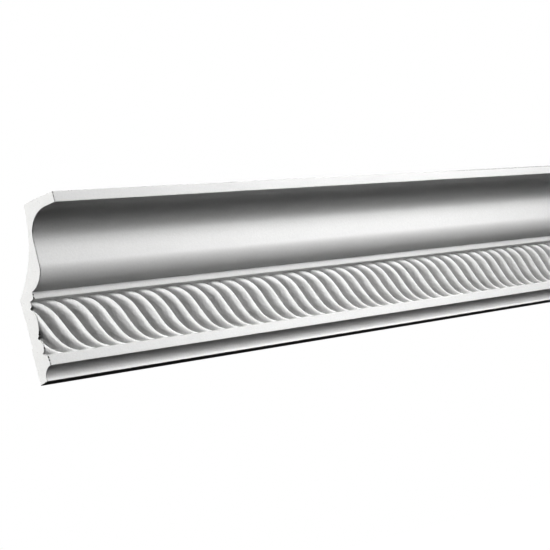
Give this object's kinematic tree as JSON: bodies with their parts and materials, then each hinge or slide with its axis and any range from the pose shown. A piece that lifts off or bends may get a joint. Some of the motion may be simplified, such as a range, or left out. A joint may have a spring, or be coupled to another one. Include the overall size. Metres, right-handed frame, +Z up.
{
  "type": "cornice moulding",
  "caption": "White foam crown moulding with a cove, a convex round and a slanting gadroon band, for the corner of wall and ceiling.",
  "frame": {"origin": "centre of the lower wall land at the back, the face that is glued and nailed to the wall", "axes": "+X along the moulding, +Y into the wall, +Z up to the ceiling"},
  "size_m": [1, 0.0668, 0.14],
  "materials": {
    "white_foam": "smooth white moulded skin, satin to matt, over fine rigid foam"
  },
  "bodies": {
    "root": {"cornice_moulding": "white_foam"}
  },
  "joints": []
}
